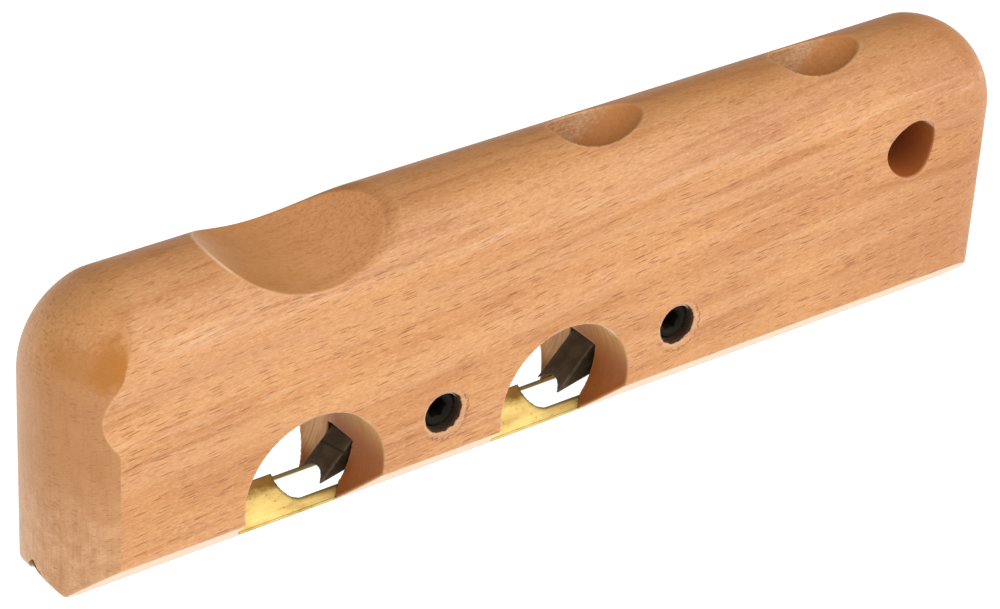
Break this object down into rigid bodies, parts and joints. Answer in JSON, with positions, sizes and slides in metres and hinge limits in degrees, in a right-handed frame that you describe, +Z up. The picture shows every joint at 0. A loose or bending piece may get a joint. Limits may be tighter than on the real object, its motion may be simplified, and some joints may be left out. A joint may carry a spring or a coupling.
{
  "type": "corner rounding plane",
  "caption": "Wooden hand plane for rounding board edges: brass-lined vee sole, round mouths, square bar cutters at 45 degrees and side set screws.",
  "frame": {"origin": "middle of the sole, on the plane of its two lower edges, below the centre of the stock", "axes": "+X from nose to tail, -Y the side with the set screws, +Z up"},
  "size_m": [0.2344, 0.0308, 0.064],
  "materials": {
    "beech": "satin oiled beech",
    "brass": "bright, slightly tarnished",
    "black_steel": "black oxide"
  },
  "bodies": {
    "stock": {"body": "beech", "sole_angle": "brass", "sole_screws": "brass"},
    "front_cutter": {"front_cutter": "black_steel"},
    "rear_cutter": {"rear_cutter": "black_steel"},
    "front_set_screw": {"front_set_screw": "black_steel"},
    "rear_set_screw": {"rear_set_screw": "black_steel"}
  },
  "joints": [
    {"name": "front_cutter_slide", "type": "slide", "parent": "stock", "child": "front_cutter", "axis": [0.7071, 0, 0.7071], "range_m": [-0.003, 0.012]},
    {"name": "rear_cutter_slide", "type": "slide", "parent": "stock", "child": "rear_cutter", "axis": [0.7071, 0, 0.7071], "range_m": [-0.003, 0.012]},
    {"name": "front_set_screw_travel", "type": "slide", "parent": "stock", "child": "front_set_screw", "axis": [0, -1, 0], "range_m": [0, 0.0019]},
    {"name": "rear_set_screw_travel", "type": "slide", "parent": "stock", "child": "rear_set_screw", "axis": [0, -1, 0], "range_m": [0, 0.0019]}
  ]
}
